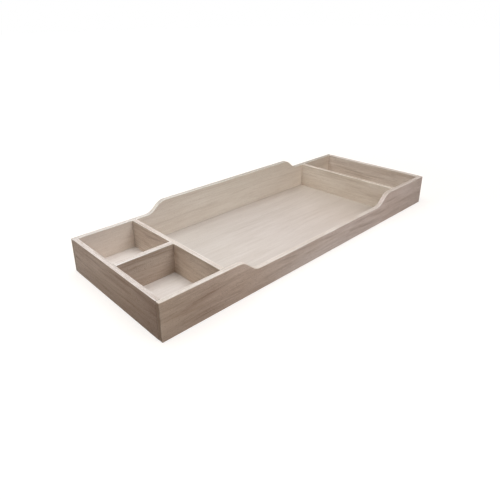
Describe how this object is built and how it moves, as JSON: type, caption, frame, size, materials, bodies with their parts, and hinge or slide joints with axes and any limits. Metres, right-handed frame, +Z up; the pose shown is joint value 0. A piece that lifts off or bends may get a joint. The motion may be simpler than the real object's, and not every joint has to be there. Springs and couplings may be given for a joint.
{
  "type": "dresser top changer",
  "caption": "Open wooden tray for the top of a dresser: a bay for a changing pad with a low front scoop and a raised back, and open storage compartments at both ends.",
  "frame": {"origin": "on the surface that the tray stands on, under the middle of the tray", "axes": "+X along the tray from the two small compartments to the long compartment, +Y from the low front to the raised rear, +Z up"},
  "size_m": [1.258, 0.458, 0.146],
  "materials": {
    "washed_wood": "pale grey-beige washed stain over open grain, matt lacquer",
    "floor_veneer": "pale washed veneer on thin plywood, matt lacquer",
    "dowel_wood": "bare fluted hardwood",
    "zinc_screw": "bright zinc plate"
  },
  "bodies": {
    "root": {"front_panel": "washed_wood", "rear_panel": "washed_wood", "left_end_panel": "washed_wood", "right_end_panel": "washed_wood", "left_divider": "washed_wood", "right_divider": "washed_wood", "compartment_divider": "washed_wood", "floor_panel": "floor_veneer", "front_left_corner_dowel_lower": "dowel_wood", "front_left_corner_dowel_upper": "dowel_wood", "front_right_corner_dowel_lower": "dowel_wood", "front_right_corner_dowel_upper": "dowel_wood", "rear_left_corner_dowel_lower": "dowel_wood", "rear_left_corner_dowel_upper": "dowel_wood", "rear_right_corner_dowel_lower": "dowel_wood", "rear_right_corner_dowel_upper": "dowel_wood", "left_divider_front_dowel_lower": "dowel_wood", "left_divider_front_dowel_upper": "dowel_wood", "left_divider_rear_dowel_lower": "dowel_wood", "left_divider_rear_dowel_upper": "dowel_wood", "right_divider_front_dowel_lower": "dowel_wood", "right_divider_front_dowel_upper": "dowel_wood", "right_divider_rear_dowel_lower": "dowel_wood", "right_divider_rear_dowel_upper": "dowel_wood", "compartment_divider_left_dowel_lower": "dowel_wood", "compartment_divider_left_dowel_upper": "dowel_wood", "compartment_divider_right_dowel_lower": "dowel_wood", "compartment_divider_right_dowel_upper": "dowel_wood", "left_divider_screw_1": "zinc_screw", "left_divider_screw_2": "zinc_screw", "left_divider_screw_3": "zinc_screw", "right_divider_screw_1": "zinc_screw", "right_divider_screw_2": "zinc_screw", "right_divider_screw_3": "zinc_screw", "compartment_divider_screw_1": "zinc_screw", "compartment_divider_screw_2": "zinc_screw"}
  },
  "joints": []
}
